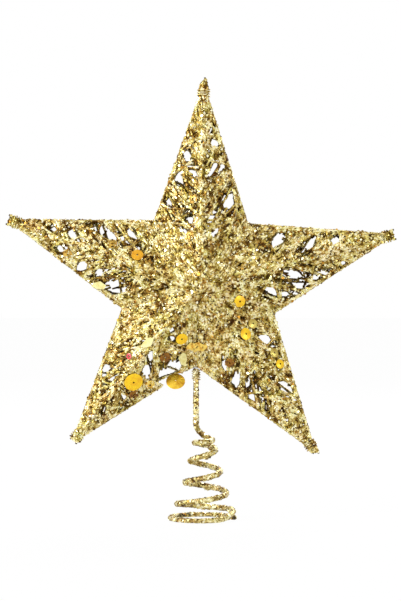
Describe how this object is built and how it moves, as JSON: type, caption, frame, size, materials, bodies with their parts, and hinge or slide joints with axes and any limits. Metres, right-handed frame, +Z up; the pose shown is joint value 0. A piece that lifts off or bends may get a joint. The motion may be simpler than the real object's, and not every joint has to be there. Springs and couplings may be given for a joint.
{
  "type": "christmas tree topper star",
  "caption": "Five-armed, two-sided wire star laced with gold glitter and set with sequins, standing on a tapered coiled wire spring that pushes over a tree's tip.",
  "frame": {"origin": "middle of the spring's base ring, on the surface it stands on", "axes": "+Z up, +X to the right seen from the front, -Y towards the viewer"},
  "size_m": [0.2002, 0.044, 0.2269],
  "materials": {
    "spring_wire": "steel wire coated with gold glitter",
    "frame_wire": "steel wire coated with gold glitter",
    "binding_wire": "thin bright wire",
    "glitter_lacing": "gold polyester glitter in clear lacquer",
    "yellow_sequin": "metallised film",
    "amber_sequin": "metallised film",
    "foil": "metallised film, pale gold"
  },
  "bodies": {
    "base": {"base_ring": "spring_wire"},
    "lower_spring": {"lower_coil": "spring_wire"},
    "middle_spring": {"middle_coil": "spring_wire"},
    "star": {"upper_coil": "spring_wire", "stem_wire": "spring_wire", "stem_binding": "binding_wire", "edge_wire_upper_right": "frame_wire", "edge_wire_mid_right": "frame_wire", "edge_wire_bottom": "frame_wire", "edge_wire_mid_left": "frame_wire", "edge_wire_upper_left": "frame_wire", "front_ridge_top": "frame_wire", "front_ridge_right": "frame_wire", "front_ridge_lower_right": "frame_wire", "front_ridge_lower_left": "frame_wire", "front_ridge_left": "frame_wire", "back_ridge_top": "frame_wire", "back_ridge_right": "frame_wire", "back_ridge_lower_right": "frame_wire", "back_ridge_lower_left": "frame_wire", "back_ridge_left": "frame_wire", "front_spoke_upper_right": "frame_wire", "front_spoke_mid_right": "frame_wire", "front_spoke_bottom": "frame_wire", "front_spoke_mid_left": "frame_wire", "front_spoke_upper_left": "frame_wire", "back_spoke_upper_right": "frame_wire", "back_spoke_mid_right": "frame_wire", "back_spoke_bottom": "frame_wire", "back_spoke_mid_left": "frame_wire", "back_spoke_upper_left": "frame_wire", "tip_binding_top": "binding_wire", "tip_binding_right": "binding_wire", "tip_binding_lower_right": "binding_wire", "tip_binding_lower_left": "binding_wire", "tip_binding_left": "binding_wire", "front_hub": "glitter_lacing", "back_hub": "glitter_lacing", "front_lacing_top": "glitter_lacing", "front_lacing_right": "glitter_lacing", "front_lacing_lower_right": "glitter_lacing", "front_lacing_lower_left": "glitter_lacing", "front_lacing_left": "glitter_lacing", "back_lacing_top": "glitter_lacing", "back_lacing_right": "glitter_lacing", "back_lacing_lower_right": "glitter_lacing", "back_lacing_lower_left": "glitter_lacing", "back_lacing_left": "glitter_lacing", "yellow_sequins": "yellow_sequin", "amber_sequins": "amber_sequin", "large_sequins": "amber_sequin", "foil_flakes": "foil"}
  },
  "joints": [
    {"name": "spring_compress", "type": "slide", "parent": "base", "child": "lower_spring", "axis": [0, 0, 1], "range_m": [-0.01, 0.006], "stiffness_N_per_m": 2500, "deforming": ["lower_coil"]},
    {"name": "side_sway", "type": "hinge", "parent": "lower_spring", "child": "middle_spring", "pos_m": [0, 0, 0.025], "axis": [0, 1, 0], "range_deg": [-15, 15], "stiffness_Nm_per_rad": 0.7, "deforming": ["middle_coil"]},
    {"name": "front_nod", "type": "hinge", "parent": "middle_spring", "child": "star", "pos_m": [0, 0, 0.036], "axis": [1, 0, 0], "range_deg": [-15, 15], "stiffness_Nm_per_rad": 0.7, "deforming": ["upper_coil"]}
  ]
}
